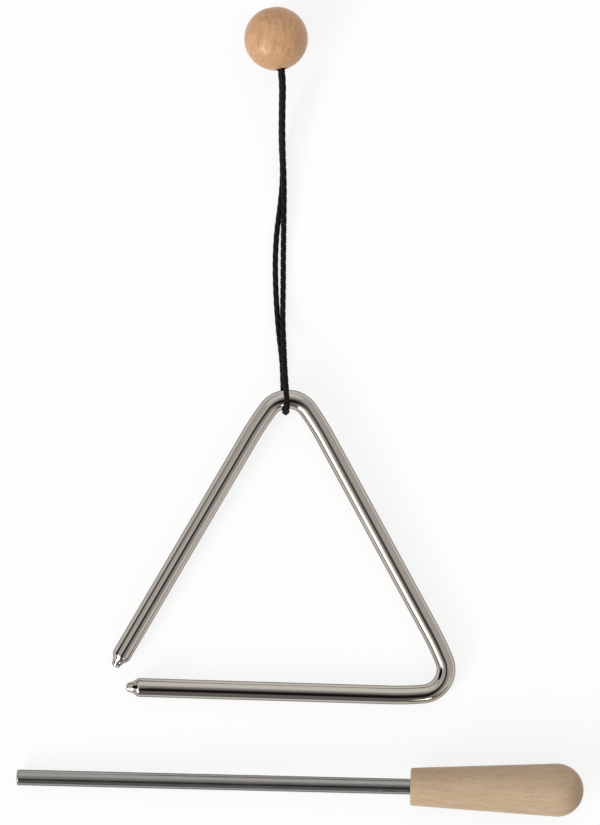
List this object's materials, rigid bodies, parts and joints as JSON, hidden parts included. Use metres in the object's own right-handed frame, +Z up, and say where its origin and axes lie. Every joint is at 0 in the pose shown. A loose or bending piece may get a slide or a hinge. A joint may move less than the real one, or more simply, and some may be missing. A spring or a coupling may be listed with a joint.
{
  "type": "triangle instrument",
  "caption": "Plated steel bar bent into an open triangle, hung on a doubled cord with a wooden ball grip, with a steel beater that has a turned wooden handle.",
  "frame": {"origin": "centre of the object's footprint, on the table that it lies on, measured without the cord", "axes": "+Z up from the table, +X along the triangle's base bar towards its closed corner, +Y from the base bar towards the ball"},
  "size_m": [0.2172, 0.3062, 0.0244],
  "materials": {
    "plated_bar": "polished nickel plating",
    "black_cord": "braided, matt",
    "lacquered_beech": "clear lacquer",
    "satin_steel": "satin",
    "pale_beech": "thin clear coat"
  },
  "bodies": {
    "triangle": {"triangle_bar": "plated_bar"},
    "hanger": {"cord_loop": "black_cord", "cord_knot": "black_cord"},
    "ball": {"ball_grip": "lacquered_beech"},
    "beater": {"beater_rod": "satin_steel", "beater_handle": "pale_beech"}
  },
  "joints": [
    {"name": "loop_swing", "type": "hinge", "parent": "triangle", "child": "hanger", "pos_m": [-0.00935, 0.00343, 0.00595], "axis": [0.9966, 0.0819, 0], "range_deg": [-165, 165]},
    {"name": "ball_spin", "type": "hinge", "parent": "hanger", "child": "ball", "pos_m": [-0.0175, 0.14093, 0.0122], "axis": [0.2076, -0.9768, 0.0523], "continuous": true},
    {"name": "beater_strike", "type": "slide", "parent": "triangle", "child": "beater", "axis": [0.5, 0.866, 0], "range_m": [0, 0.033]}
  ]
}
